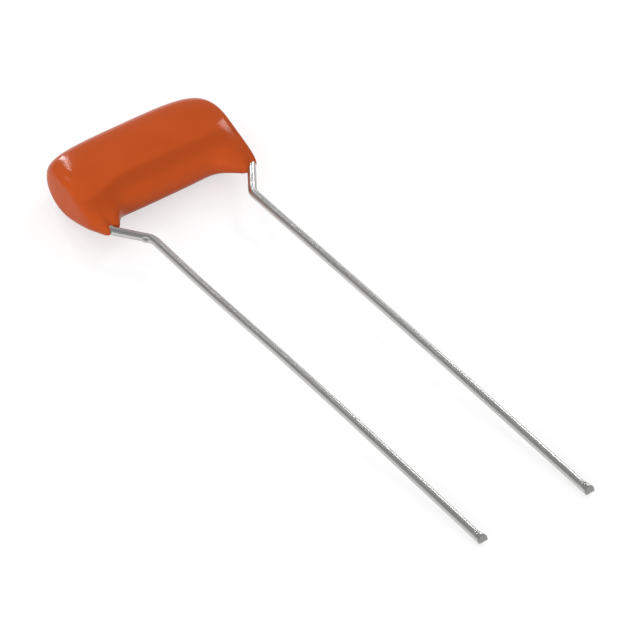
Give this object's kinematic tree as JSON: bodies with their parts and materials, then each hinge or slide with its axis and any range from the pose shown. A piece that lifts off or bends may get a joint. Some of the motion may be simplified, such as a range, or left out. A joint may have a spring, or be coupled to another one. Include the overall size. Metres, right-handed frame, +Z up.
{
  "type": "polypropylene film capacitor",
  "caption": "Radial-lead film capacitor: an orange epoxy-dipped oval block with two long tinned wire leads, kinked inwards to their pitch, lying flat.",
  "frame": {"origin": "centre of the footprint of the whole part, on the surface it lies on", "axes": "+X from the left lead to the right lead along the block, +Y from the lead tips towards the block, +Z up through the block's thickness"},
  "size_m": [0.0182, 0.0618, 0.005],
  "materials": {
    "epoxy": "glossy dipped epoxy",
    "tinned_wire": "bright tinned copper with drawing lines",
    "wound_film": "satin polypropylene film",
    "sprayed_metal": "rough sprayed metal",
    "solder": "smooth solder"
  },
  "bodies": {
    "root": {"coating": "epoxy", "film_winding": "wound_film", "left_end_spray": "sprayed_metal", "right_end_spray": "sprayed_metal", "left_solder": "solder", "right_solder": "solder", "left_lead": "tinned_wire", "right_lead": "tinned_wire"}
  },
  "joints": []
}
